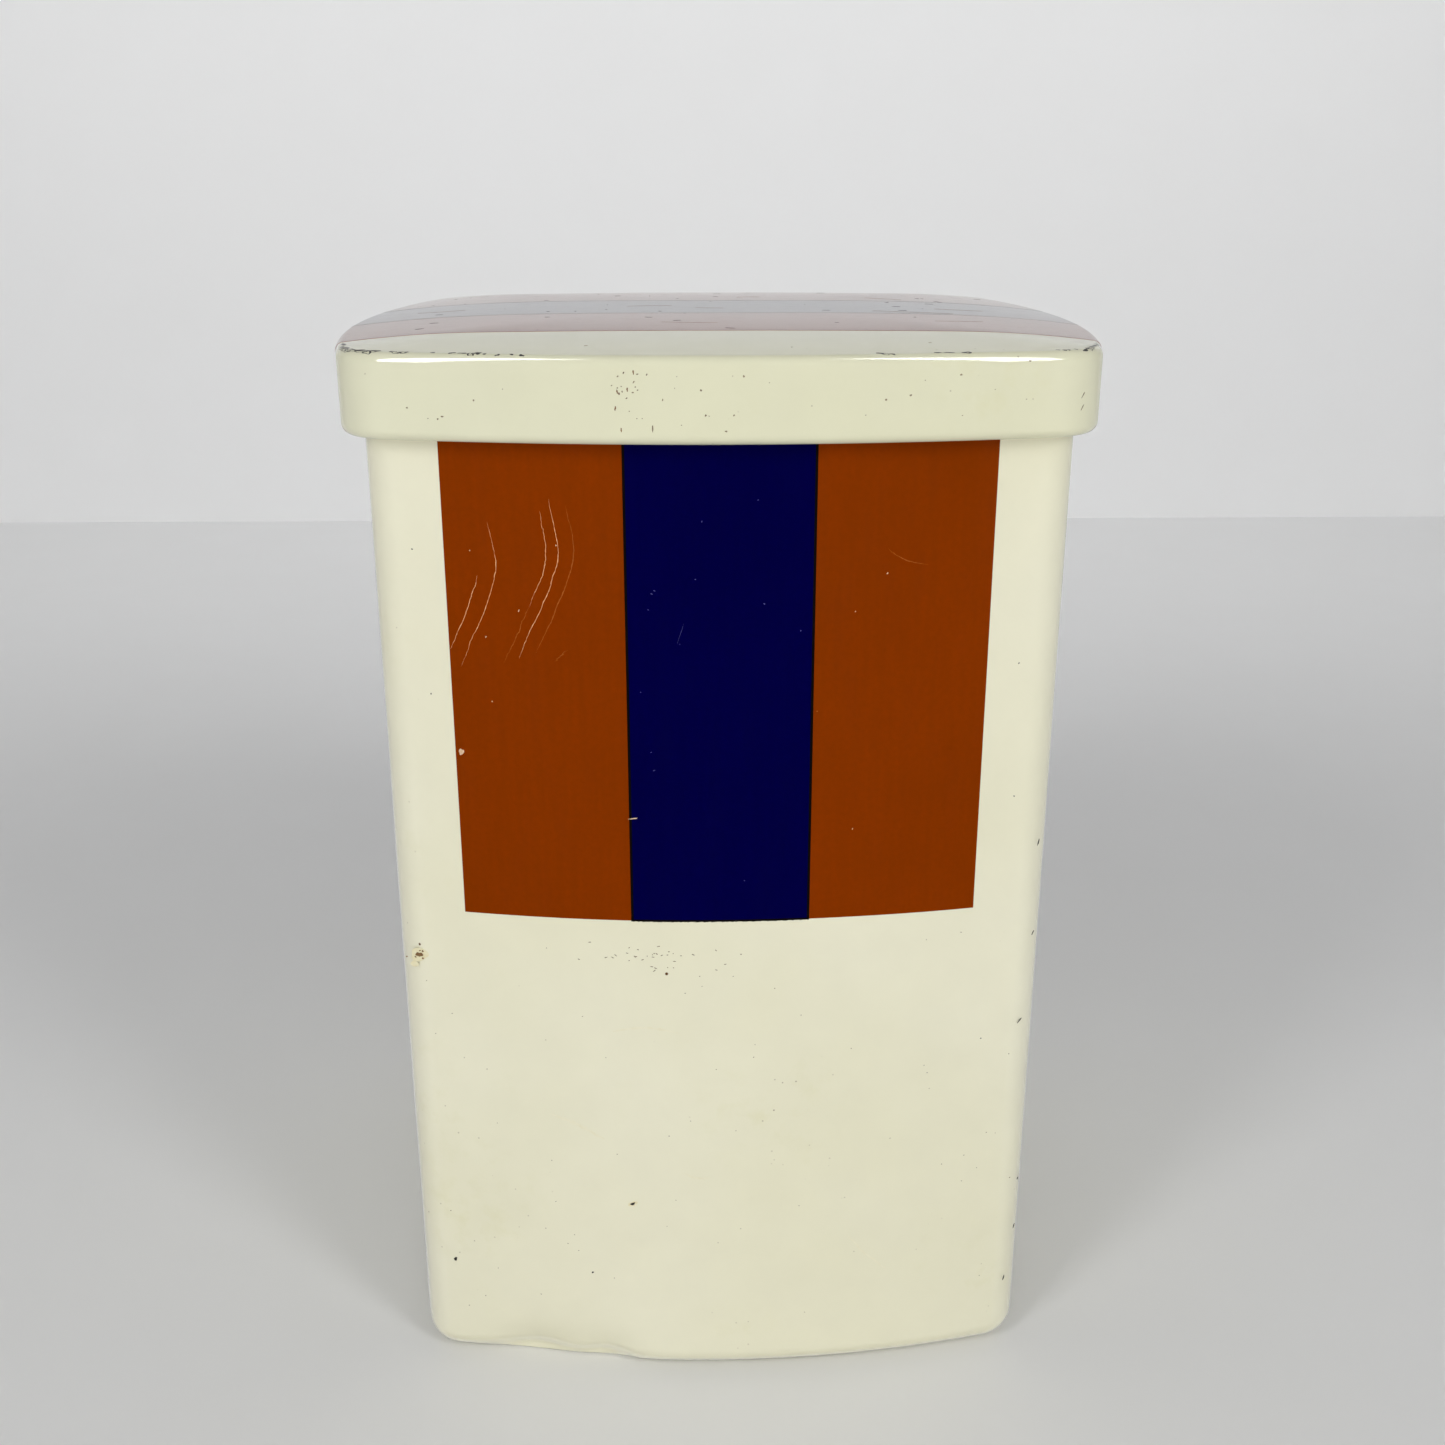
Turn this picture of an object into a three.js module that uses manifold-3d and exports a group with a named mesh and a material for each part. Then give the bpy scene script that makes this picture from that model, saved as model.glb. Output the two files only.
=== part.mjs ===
// Square tinplate storage canister: a wrapped wall with bowed sides, a base panel hooked into
// its foot, and a pressed slip-over lid that lifts straight off.
//
// Millimetres, +Z up. The origin is the middle of the footprint, on the surface the canister
// stands on, and the front faces -Y.
//
// Every piece is one thin sheet. It is drawn as a centreline in a cross-section plane, given the
// sheet's thickness, and carried round the square plan. A cross-section point is (out, up): out
// is the distance outside the wall's outer face, measured square to it (inside is negative), and
// up is the height.

import * as THREE from "three";
import { mergeVertices } from "three/addons/utils/BufferGeometryUtils.js";
import Module from "manifold-3d";

// ---- Driving dimensions ----------------------------------------------------------------------

const WIDTH = 130; // across the middles of two opposite walls
const SIDE_RADIUS = 230; // plan radius of each bowed side
const CORNER_RADIUS = 7.5; // plan radius of the wall's corners
const RIM_HEIGHT = 196.4; // top of the wall's rolled rim
const SHEET = 0.3; // thickness of the tinplate

const FOOT_RADIUS = 5.5; // rounding where the wall turns under
const FOOT_WIDTH = 1.6; // flat ring that the canister stands on
const FLANGE_BEND = 0.6; // bend from that ring up into the flange
const FLANGE_HEIGHT = 4.2; // top edge of the flange that the base hooks over

const RIM_CURL = 1.3; // centreline radius of the rim, rolled inwards
const CURL_TURN = 300; // degrees that the rim and the hem are rolled through

const SEAM_WIDTH = 5; // folded side seam, down the inside of the +X wall
const SEAM_DEPTH = 0.9;
const SEAM_END_CLEARANCE = 1; // between the seam's ends and the bends above and below it

const PANEL_HEIGHT = 2; // centreline of the base panel's outer border
const PANEL_BEND = 1; // bend from the hook into the panel
const HOOK_LEG_END = 1.5; // lower edge of the hook's outer leg
const BEAD_INSET = 20; // from the wall's face to the step that stiffens the panel
const BEAD_SLOPE = 2;
const BEAD_RISE = 1;

const LID_OVERHANG = 3.9; // the lid's skirt stands this far outside the wall
const LID_DEPTH = 14; // from the lid's shoulder down to the underside of its hem
const LID_FILLET = 1.6; // rounding between skirt and top
const LID_CROWN = 2.2; // rise of the pillowed top above its shoulder
const CROWN_POWER = 4; // the higher, the flatter the middle of the top and the quicker its edges fall

// ---- Clearances ------------------------------------------------------------------------------

const SEAM_GAP = 0.3; // between the base's hook and the wall's flange
const SEAT_GAP = 0.3; // between the lid's underside and the rim it rests on
const HEM_CLEARANCE = 0.4; // between the lid's hem and the wall

// ---- Fineness --------------------------------------------------------------------------------

const SIDE_STEPS = 8; // even, so that one point lies on the middle of each side
const CORNER_STEPS = 4;
const CURL_STEPS = 8;
const BEND_STEPS = 3;
const CROWN_STEPS = 6;
const CROWN_EASE = 1.6; // above 1, the crown's rings crowd towards the shoulder, where it bends most
const TIGHTEST_CORNER = 1.2; // plan radius kept by the corners of the innermost folds
const ROUNDING_STARTS = 12; // inside this distance from the wall's face, plans turn gradually round

// ---- Plan outlines ---------------------------------------------------------------------------

const HALF_WIDTH = WIDTH / 2;

// Corner points of the plan at a distance outside the wall's outer face. Each side is an arc
// whose centre lies on the far side of the origin, and the corner is an arc tangent to two sides.
function offsetPlan(out) {
  const sideRadius = SIDE_RADIUS + out;
  const cornerRadius = Math.max(CORNER_RADIUS + out, TIGHTEST_CORNER);
  const sideCentre = SIDE_RADIUS - HALF_WIDTH;
  const reach = sideRadius - cornerRadius;
  const corner = (Math.sqrt(2 * reach ** 2 - sideCentre ** 2) - sideCentre) / 2;
  const sideEnd = Math.atan2(corner, corner + sideCentre);
  const quarter = [];
  for (let i = 0; i < SIDE_STEPS; i += 1) {
    const angle = sideEnd * ((2 * i) / SIDE_STEPS - 1);
    quarter.push([sideRadius * Math.cos(angle) - sideCentre, sideRadius * Math.sin(angle)]);
  }
  for (let i = 0; i < CORNER_STEPS; i += 1) {
    const angle = sideEnd + (Math.PI / 2 - 2 * sideEnd) * (i / CORNER_STEPS);
    quarter.push([corner + cornerRadius * Math.cos(angle), corner + cornerRadius * Math.sin(angle)]);
  }
  const middle = new THREE.Vector2();
  return [0, 1, 2, 3].flatMap((turn) =>
    quarter.map(([x, y]) => new THREE.Vector2(x, y).rotateAround(middle, (turn * Math.PI) / 2)),
  );
}

// The plan at any distance, in to the centre. Well inside the wall it shrinks towards the centre
// and turns from a rounded square into a circle, so that a pillowed top has no creases.
function planAt(out) {
  if (out >= -ROUNDING_STARTS) return offsetPlan(out);
  const startRadius = HALF_WIDTH - ROUNDING_STARTS;
  const share = (HALF_WIDTH + out) / startRadius;
  const roundness = THREE.MathUtils.smoothstep(1 - share, 0, 1);
  return offsetPlan(-ROUNDING_STARTS).map((point) => {
    const circle = point.clone().setLength(startRadius);
    return point.clone().lerp(circle, roundness).multiplyScalar(share);
  });
}

// ---- Cross-sections --------------------------------------------------------------------------

const at = (out, up) => new THREE.Vector2(out, up);

// Points along an arc of the cross-section, both ends included, with its angles in degrees.
function bend(centre, radius, from, to, steps) {
  return Array.from({ length: steps + 1 }, (_, i) => {
    const angle = THREE.MathUtils.degToRad(from + ((to - from) * i) / steps);
    return at(centre.x + radius * Math.cos(angle), centre.y + radius * Math.sin(angle));
  });
}

// The closed outline of a sheet whose centreline is the path: the path's right-hand side forwards,
// then its left-hand side backwards, each half a thickness away and mitred at the bends.
function thicken(path) {
  const side = (hand) =>
    path.map((point, i) => {
      const before = path[Math.max(i - 1, 0)];
      const after = path[Math.min(i + 1, path.length - 1)];
      const arriving = (i ? point.clone().sub(before) : after.clone().sub(point)).normalize();
      const leaving = (i < path.length - 1 ? after.clone().sub(point) : arriving.clone()).normalize();
      const along = arriving.clone().add(leaving).normalize();
      const reach = (hand * SHEET) / 2 / along.dot(arriving);
      return at(point.x + along.y * reach, point.y - along.x * reach);
    });
  return [...side(1), ...side(-1).reverse()];
}

// ---- Solids ----------------------------------------------------------------------------------

// Carries a closed cross-section outline, anticlockwise in (out, up), round the plan. A point on
// the centre line becomes a pole, closed with a fan.
function carryRound(outline) {
  const positions = [];
  const rings = outline.map(({ x: out, y: up }) => {
    const first = positions.length / 3;
    const isPole = out <= -HALF_WIDTH + 1e-6;
    const plan = isPole ? [new THREE.Vector2()] : planAt(out);
    plan.forEach((point) => positions.push(point.x, point.y, up));
    return { isPole, index: (j) => (isPole ? first : first + (j % plan.length)) };
  });
  const count = 4 * (SIDE_STEPS + CORNER_STEPS);
  const triangles = [];
  rings.forEach((ring, i) => {
    const next = rings[(i + 1) % rings.length];
    for (let j = 0; j < count; j += 1) {
      if (!ring.isPole) triangles.push(ring.index(j), ring.index(j + 1), next.index(j));
      if (!next.isPole) triangles.push(ring.index(j + 1), next.index(j + 1), next.index(j));
    }
  });
  const geometry = new THREE.BufferGeometry();
  geometry.setAttribute("position", new THREE.Float32BufferAttribute(positions, 3));
  geometry.setIndex(triangles);
  return geometry;
}

const wasm = await Module();
wasm.setup();

function toSolid(geometry) {
  const bare = geometry.clone();
  bare.deleteAttribute("normal");
  bare.deleteAttribute("uv");
  const merged = mergeVertices(bare);
  return new wasm.Manifold(
    new wasm.Mesh({
      numProp: 3,
      vertProperties: new Float32Array(merged.attributes.position.array),
      triVerts: new Uint32Array(merged.index.array),
    }),
  );
}

function toGeometry(solid) {
  const mesh = solid.getMesh();
  const geometry = new THREE.BufferGeometry();
  geometry.setAttribute("position", new THREE.BufferAttribute(mesh.vertProperties, 3));
  geometry.setIndex(new THREE.BufferAttribute(mesh.triVerts, 1));
  return geometry;
}

// ---- The wall --------------------------------------------------------------------------------

const rimCentre = at(-SHEET / 2 - RIM_CURL, RIM_HEIGHT - SHEET / 2 - RIM_CURL);
const rimUnderside = rimCentre.y - RIM_CURL - SHEET / 2;
const flangeOut = -FOOT_RADIUS - FOOT_WIDTH - FLANGE_BEND;

// From the flange's top edge: down, under the foot ring, round the foot, up the wall, and in
// along the rolled rim.
function wallShell() {
  const flangeBend = at(flangeOut + FLANGE_BEND, SHEET / 2 + FLANGE_BEND);
  const footCentre = at(-FOOT_RADIUS, FOOT_RADIUS);
  return carryRound(
    thicken([
      at(flangeOut, FLANGE_HEIGHT),
      ...bend(flangeBend, FLANGE_BEND, 180, 270, BEND_STEPS),
      ...bend(footCentre, FOOT_RADIUS - SHEET / 2, 270, 360, BEND_STEPS),
      ...bend(rimCentre, RIM_CURL, 0, CURL_TURN, CURL_STEPS),
    ]),
  );
}

// The two ends of the wall's sheet are folded into each other and flattened on the inside.
function seamFold() {
  const bottom = FOOT_RADIUS + SEAM_END_CLEARANCE;
  const top = rimUnderside - SEAM_END_CLEARANCE;
  return new THREE.BoxGeometry(SEAM_DEPTH, SEAM_WIDTH, top - bottom).translate(
    HALF_WIDTH - (SHEET + SEAM_DEPTH) / 2,
    0,
    (top + bottom) / 2,
  );
}

const bodyWall = () => toGeometry(toSolid(wallShell()).add(toSolid(seamFold())));

// ---- The base --------------------------------------------------------------------------------

// From the hook's outer leg: up, over the wall's flange, down its inside, and in along the panel,
// which steps up at the bead.
function basePanel() {
  const hookRadius = SHEET + SEAM_GAP;
  const innerLeg = flangeOut - hookRadius;
  const panelBend = at(innerLeg - PANEL_BEND, PANEL_HEIGHT + PANEL_BEND);
  return carryRound(
    thicken([
      at(flangeOut + hookRadius, HOOK_LEG_END),
      ...bend(at(flangeOut, FLANGE_HEIGHT), hookRadius, 0, 180, BEND_STEPS),
      ...bend(panelBend, PANEL_BEND, 0, -90, BEND_STEPS),
      at(-BEAD_INSET, PANEL_HEIGHT),
      at(-BEAD_INSET - BEAD_SLOPE, PANEL_HEIGHT + BEAD_RISE),
      at(-HALF_WIDTH, PANEL_HEIGHT + BEAD_RISE),
    ]),
  );
}

// ---- The lid ---------------------------------------------------------------------------------

const lidHalfWidth = HALF_WIDTH + LID_OVERHANG;

// How far the lid's top has risen above its shoulder, at a distance outside the wall's face.
function crownRise(out) {
  const fromCentre = (HALF_WIDTH + out) / (lidHalfWidth - LID_FILLET);
  return LID_CROWN * (1 - fromCentre ** CROWN_POWER);
}

const shoulderHeight = RIM_HEIGHT + SEAT_GAP + SHEET - crownRise(rimCentre.x);

// From the hem's rolled edge: round the hem, up the skirt, over the fillet, and in along the
// pillowed top.
function lidCap() {
  const hemRadius = (LID_OVERHANG - HEM_CLEARANCE - SHEET) / 2;
  const hemCentre = at(
    LID_OVERHANG - SHEET / 2 - hemRadius,
    shoulderHeight - LID_DEPTH + SHEET / 2 + hemRadius,
  );
  const filletCentre = at(LID_OVERHANG - LID_FILLET, shoulderHeight - LID_FILLET);
  const crown = Array.from({ length: CROWN_STEPS }, (_, i) => {
    const share = ((i + 1) / CROWN_STEPS) ** CROWN_EASE;
    const out = THREE.MathUtils.lerp(filletCentre.x, -HALF_WIDTH, share);
    return at(out, shoulderHeight - SHEET / 2 + crownRise(out));
  });
  return carryRound(
    thicken([
      ...bend(hemCentre, hemRadius, 360 - CURL_TURN, 360, CURL_STEPS),
      ...bend(filletCentre, LID_FILLET - SHEET / 2, 0, 90, BEND_STEPS),
      ...crown,
    ]),
  );
}

// ---- The canister ----------------------------------------------------------------------------

const creamLacquer = { color: 0xdedcc4, roughness: 0.25, metalness: 0 };
const bareTinplate = { color: 0xb9b8b2, roughness: 0.35, metalness: 0.9 };

function piece(name, geometry, finish) {
  const mesh = new THREE.Mesh(geometry, new THREE.MeshStandardMaterial(finish));
  mesh.name = name;
  return mesh;
}

const canister = new THREE.Group();
canister.add(
  piece("body_wall", bodyWall(), creamLacquer),
  piece("base_panel", basePanel(), bareTinplate),
  piece("lid_cap", lidCap(), creamLacquer),
);

export default canister;
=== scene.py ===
"""Looks of a square lacquered tin canister: printed wall, hooked base and slip-over lid.

Metres, +Z up, front facing -Y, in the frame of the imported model. Every sheet piece is a
centreline in a cross-section (distance outside the wall's face, height), thickened to the
sheet and carried round a bowed square plan. Print and wear are thin pieces of their own.
"""

import math

import bpy
import numpy as np
from bpy.props import FloatProperty, FloatVectorProperty, PointerProperty
from mathutils import Euler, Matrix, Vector


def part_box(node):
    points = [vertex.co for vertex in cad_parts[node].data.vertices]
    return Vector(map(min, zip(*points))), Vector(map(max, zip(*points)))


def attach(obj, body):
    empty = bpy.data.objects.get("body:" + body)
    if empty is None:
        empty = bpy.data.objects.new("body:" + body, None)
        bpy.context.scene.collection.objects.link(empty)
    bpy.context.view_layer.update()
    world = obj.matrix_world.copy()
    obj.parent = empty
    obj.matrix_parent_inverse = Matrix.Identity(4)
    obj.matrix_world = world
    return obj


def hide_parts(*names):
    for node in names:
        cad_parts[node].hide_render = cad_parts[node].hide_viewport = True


bl_info = {
    "name": "Lacquered Tin Canister",
    "version": (1, 0, 0),
    "blender": (4, 5, 0),
    "location": "View3D > Sidebar > Canister",
    "description": "Builds the sheet pieces, print, wear and studio of a square tin canister",
    "category": "Object",
}

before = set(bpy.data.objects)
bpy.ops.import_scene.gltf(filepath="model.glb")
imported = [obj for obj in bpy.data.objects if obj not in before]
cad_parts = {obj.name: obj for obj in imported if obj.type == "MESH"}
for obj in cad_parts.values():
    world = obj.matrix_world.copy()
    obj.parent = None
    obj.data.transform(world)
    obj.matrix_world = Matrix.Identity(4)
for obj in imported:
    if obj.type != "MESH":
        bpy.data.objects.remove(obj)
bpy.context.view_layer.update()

MM = 0.001
WALL_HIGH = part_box("body_wall")[1]
LID_LOW, LID_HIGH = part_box("lid_cap")
HALF_WIDTH = WALL_HIGH.x
RIM_TOP = WALL_HIGH.z
LID_OVERHANG = LID_HIGH.x - HALF_WIDTH

SIDE_SHARE = 0.8  # share of a quarter of the plan that is its bowed side; the rest is its corner
FRONT, RIGHT, BACK = range(3)  # sides, counted from -Y by way of +X
SUNK = -0.02 * MM  # undersides of print and marks lie just inside the lacquer
KEY_LIFT = 1.35  # key lines, marks on the wall and marks on the top stand out over the stripes:
MARK_LIFT = 1.5  # these are shares of the print's own lift
TOP_LIFT = 1.6
SHARP = 40
HEM_STEPS = 30  # points round the lid's rolled hem
HEM_PRINTED = 3  # of them, how many the lid's print runs over
LEAST_CORNER = 1.2 * MM  # smallest plan radius that a corner shrinks to inside the wall
WAVES = ((67 * MM, 150 * MM), (-93 * MM, 49 * MM))  # length of each wave along a side and up it


# ---- Settings --------------------------------------------------------------------------------


def linear(code):
    """Linear red, green and blue of an sRGB colour written as #rrggbb."""
    values = np.array([int(code[i : i + 2], 16) for i in (1, 3, 5)]) / 255
    return tuple(np.where(values <= 0.04045, values / 12.92, ((values + 0.055) / 1.055) ** 2.4))


def length(name, description, millimetres):
    return FloatProperty(
        name=name, description=description, default=millimetres * MM, unit="LENGTH", precision=5
    )


def colour(name, description, code):
    return FloatVectorProperty(
        name=name, description=description, default=linear(code), subtype="COLOR", min=0, max=1
    )


class CanisterSizes(bpy.types.PropertyGroup):
    side_radius: length("Side radius", "Plan radius of each bowed side", 230)
    corner_radius: length("Corner radius", "Plan radius of the wall's corners", 7.5)
    sheet: length("Sheet", "Thickness of the tinplate", 0.3)
    foot_radius: length("Foot radius", "Rounding where the wall turns under", 5.5)
    foot_width: length("Foot width", "Flat ring that the canister stands on", 1.6)
    flange_bend: length("Flange bend", "Bend from the ring up into the flange", 0.6)
    flange_height: length("Flange height", "Top edge of the flange under the base's hook", 4.2)
    rim_curl: length("Rim curl", "Centreline radius of the rim, rolled inwards", 1.3)
    seam_width: length("Seam width", "Folded side seam inside the right wall", 5)
    seam_depth: length("Seam depth", "Thickness of the folded seam", 0.9)
    groove_depth: length("Groove depth", "Line that the seam leaves outside", 0.22)
    seam_gap: length("Seam gap", "Between the base's hook and the flange", 0.3)
    panel_height: length("Panel height", "Centreline of the base panel's border", 2)
    panel_bend: length("Panel bend", "Bend from the hook into the panel", 1)
    hook_end: length("Hook end", "Lower edge of the hook's outer leg", 1.5)
    bead_inset: length("Bead inset", "From the wall's face to the panel's step", 20)
    bead_slope: length("Bead slope", "Width of the panel's step", 2)
    bead_rise: length("Bead rise", "Height of the panel's step", 1)
    lid_fillet: length("Lid fillet", "Rounding between the lid's skirt and top", 1.6)
    lid_crown: length("Lid crown", "Rise of the pillowed top above its shoulder", 2.2)
    hem_gap: length("Hem gap", "Between the lid's rolled hem and the wall", 0.4)
    wave: length("Unevenness", "Height of the slow waves in the rolled wall", 0.09)
    dent: length("Foot dent", "Depth of the dents in the front of the foot", 3)


class CanisterPrint(bpy.types.PropertyGroup):
    block: length("Block", "Half width of the three stripes together", 45.5)
    blue: length("Blue", "Half width of the blue stripe", 15.5)
    shift: length("Shift", "Sideways misregister of the print on the body", -0.4)
    bottom: length("Bottom", "Height of the block's lower edge", 98.5)
    key_line: length("Key line", "Width of the black line beside the blue", 0.45)
    lift: length("Lift", "Print stands this far proud of the lacquer", 0.04)
    recess: length("Recess", "The lid's sheet stands back this far, to leave room for print", 0.07)


class CanisterColours(bpy.types.PropertyGroup):
    cream: colour("Cream", "Body lacquer", "#e9e6ce")
    cream_lid: colour("Lid cream", "Lid lacquer, a little yellower", "#e0dfc4")
    yellowed: colour("Yellowed", "Lacquer where it has aged", "#d6d2a6")
    orange: colour("Orange", "Burnt orange print", "#863300")
    blue: colour("Blue", "Deep blue print", "#010040")
    black: colour("Black", "Key line print", "#0b0808")
    tin: colour("Tinplate", "Bare tinplate", "#cfcdc5")
    tarnish: colour("Tarnish", "Dulled tinplate", "#a39f93")
    steel: colour("Oxidised steel", "Steel laid bare by a chip", "#1f1e1e")
    rust: colour("Rust", "Rust in pinholes", "#5e3c1c")
    scratch: colour("Scratch", "Undercoat laid bare by a scratch", "#fcc48c")


class CanisterStudio(bpy.types.PropertyGroup):
    camera: FloatVectorProperty(
        name="Camera", description="Place of the camera", subtype="TRANSLATION", unit="LENGTH",
        default=(-5.24 * MM, -313.9 * MM, 222.2 * MM),
    )
    pitch: FloatProperty(
        name="Pitch", description="How far the camera looks down", subtype="ANGLE",
        default=math.radians(19.19),
    )
    heading: FloatProperty(
        name="Heading", description="How far the camera turns to the right", subtype="ANGLE",
        default=math.radians(1.2),
    )
    lens: FloatProperty(
        name="Lens", description="Focal length on a 36 mm sensor, in millimetres", default=38.94
    )
    key: FloatProperty(
        name="Keys", description="Power of the two side softboxes", default=3.1, unit="POWER"
    )
    window: FloatProperty(
        name="Windows", description="Power of the two mirrored windows", default=14, unit="POWER"
    )
    fill: FloatProperty(
        name="Fill", description="Power of the broad frontal light", default=5.9, unit="POWER"
    )
    wash: FloatProperty(
        name="Wash", description="Power of the light on the backdrop", default=1.3, unit="POWER"
    )
    paper: colour("Paper", "Pale floor and backdrop", "#ebebeb")


# ---- Plan and cross-sections -----------------------------------------------------------------


def side_centre(sizes):
    """Distance from the axis to the centre of a side's arc, on the far side of the axis."""
    return sizes.side_radius - HALF_WIDTH


def turned(x, y, side):
    """A point given with +X facing out, turned to a side: 0 faces -Y, 1 +X, 2 +Y and 3 -X."""
    angle = (side - 1) * math.pi / 2
    return x * np.cos(angle) - y * np.sin(angle), x * np.sin(angle) + y * np.cos(angle)


def plan(sizes, out, station):
    """X and Y at a distance outside the wall's face and a station round it. Each side is an arc
    of radius side_radius + out, each corner an arc of radius corner_radius + out tangent to two
    sides. A station's whole part is its side; its fraction runs along the side, then the corner.
    """
    side = np.floor(station)
    share = station - side
    radius = sizes.side_radius + out
    corner_radius = np.maximum(sizes.corner_radius + out, LEAST_CORNER)
    centre = side_centre(sizes)
    corner = (np.sqrt(2 * (radius - corner_radius) ** 2 - centre**2) - centre) / 2
    side_end = np.arctan2(corner, corner + centre)
    side_angle = side_end * (2 * share / SIDE_SHARE - 1)
    turn = (share - SIDE_SHARE) / (1 - SIDE_SHARE)
    corner_angle = side_end + (math.pi / 2 - 2 * side_end) * turn
    on_side = share < SIDE_SHARE
    x = np.where(
        on_side, radius * np.cos(side_angle) - centre, corner + corner_radius * np.cos(corner_angle)
    )
    y = np.where(
        on_side, radius * np.sin(side_angle), corner + corner_radius * np.sin(corner_angle)
    )
    return turned(x, y, side)


def stations(side_steps, corner_steps, seam=()):
    """Stations all the way round, with extra ones given as offsets from the right side's middle."""
    on_side = np.arange(side_steps) / side_steps * SIDE_SHARE
    on_corner = SIDE_SHARE + np.arange(corner_steps) / corner_steps * (1 - SIDE_SHARE)
    quarter = np.concatenate([on_side, on_corner])
    whole = np.concatenate([quarter + side for side in range(4)])
    middle = RIGHT + SIDE_SHARE / 2
    return np.unique(np.round(np.concatenate([whole, middle + np.array(seam)]), 7))


def arc(centre, radius, start, end, steps):
    """Points of a cross-section along an arc, its angles in degrees."""
    angle = np.radians(np.linspace(start, end, steps + 1))
    return np.array(centre) + radius * np.stack([np.cos(angle), np.sin(angle)], 1)


def between(a, b, steps):
    """Points strictly between two points of a cross-section, evenly spaced."""
    share = np.arange(1, steps)[:, None] / steps
    return np.array(a) * (1 - share) + np.array(b) * share


def thicken(path, sheet):
    """Outer and inner face of a sheet with this centreline: each point moves half a thickness to
    the right of the path, or to its left, mitred at the bends."""
    step = np.diff(path, axis=0)
    step /= np.linalg.norm(step, axis=1, keepdims=True)
    arriving = np.vstack([step[:1], step])
    along = arriving + np.vstack([step, step[-1:]])
    along /= np.linalg.norm(along, axis=1, keepdims=True)
    reach = sheet / 2 / (along * arriving).sum(1, keepdims=True)
    aside = np.stack([along[:, 1], -along[:, 0]], 1) * reach
    return path + aside, path - aside


def smooth(low, high, value):
    """0 below low, 1 above high, and the smooth cubic 3t^2 - 2t^3 between."""
    t = np.clip((value - low) / (high - low), 0, 1)
    return t * t * (3 - 2 * t)


def unevenness(sizes, x, y, z):
    """How far the wall stands off its true place: two crossing sine waves along each side, fading
    out at the corners, foot and rim, less two Gaussian dents in the front of the foot."""
    along = np.where(abs(y) > abs(x), x, y)
    phase = np.where(abs(y) > abs(x), np.sign(y), 2 * np.sign(x))
    edge_fade = np.clip(1 - (along / (56 * MM)) ** 4, 0, 1)
    height_fade = smooth(8 * MM, 30 * MM, z) * smooth(0, 26 * MM, RIM_TOP - 12 * MM - z)
    slow, quick = (
        np.sin(2 * np.pi * (along / across + z / up) + weight * phase)
        for (across, up), weight in zip(WAVES, (1.7, 1))
    )
    # two dents side by side leave a fold standing between them: (x, half width, share of depth)
    dent = sum(
        depth * np.exp(-(((x - middle * MM) / (wide * MM)) ** 2))
        for middle, wide, depth in ((-37, 9, 1), (-23, 5, 0.75))
    )
    dent = dent * np.exp(-(((z - 2 * MM) / (6 * MM)) ** 2)) * (y < -50 * MM)
    return sizes.wave * edge_fade * height_fade * (slow + 0.5 * quick) - sizes.dent * dent


def lid_shoulder(sizes):
    """Height at which the lid's pillowed top begins, its outer face."""
    return LID_HIGH.z - sizes.lid_crown


def lid_plan_out(sizes, recess):
    """Distance outside the wall's face at which the lid's top meets its fillet. The sheet stands
    back by the recess, so that print and wear on it stay within the true size."""
    return LID_OVERHANG - recess - sizes.lid_fillet


def crown_height(sizes, recess, share):
    """Height of the lid's top at a share of the way out from its middle: it falls as share^4."""
    return LID_HIGH.z - recess - sizes.lid_crown * share**4


def share_of_edge(sizes, recess, x, y):
    """How far out (x, y) lies, as a share of the way from the axis to the edge of the lid's top
    in its own direction. The edge is the plan ring, solved for its radius in polar form."""
    out = lid_plan_out(sizes, recess)
    a = np.maximum(abs(x), abs(y))
    b = np.minimum(abs(x), abs(y))
    centre = side_centre(sizes)
    radius = sizes.side_radius + out
    small = sizes.corner_radius + out
    corner = (math.sqrt(2 * (radius - small) ** 2 - centre**2) - centre) / 2
    side_end = math.atan2(corner, corner + centre)
    limit = math.atan2(radius * math.sin(side_end), radius * math.cos(side_end) - centre)
    angle = np.arctan2(b, a)
    on_side = np.sqrt(radius**2 - (centre * np.sin(angle)) ** 2) - centre * np.cos(angle)
    toward = corner * (np.cos(angle) + np.sin(angle))
    beside = corner * (np.cos(angle) - np.sin(angle))
    on_corner = toward + np.sqrt(np.maximum(small**2 - beside**2, 0))
    return np.hypot(x, y) / np.where(angle > limit, on_corner, on_side)


# ---- Meshes ----------------------------------------------------------------------------------


def loft(rings, closed=False, caps=None):
    """Points, quads and triangles of the skin over a stack of closed rings. closed joins the last
    ring to the first; caps "fan" closes both ends on their middle, "strip" straight across."""
    count, around = rings.shape[:2]
    index = np.arange(count * around).reshape(count, around)
    lower = index if closed else index[:-1]
    upper = np.roll(index, -1, 0) if closed else index[1:]
    quads = np.stack([lower, np.roll(lower, -1, 1), np.roll(upper, -1, 1), upper], -1)
    quads = quads.reshape(-1, 4)
    points = rings.reshape(-1, 3)
    triangles = np.empty((0, 3), int)
    if caps == "fan":
        first, last = index[0], index[-1]
        low = np.stack([np.full(around, len(points)), np.roll(first, -1), first], 1)
        high = np.stack([np.full(around, len(points) + 1), last, np.roll(last, -1)], 1)
        triangles = np.concatenate([low, high])
        points = np.concatenate([points, rings[[0, -1]].mean(1)])
    if caps == "strip":
        k = np.arange(around // 2 - 1)
        across = np.stack([k, k + 1, around - 2 - k, around - 1 - k], 1)
        quads = np.concatenate([quads, index[0][across[:, ::-1]], index[-1][across]])
    return points, quads, triangles


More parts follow.
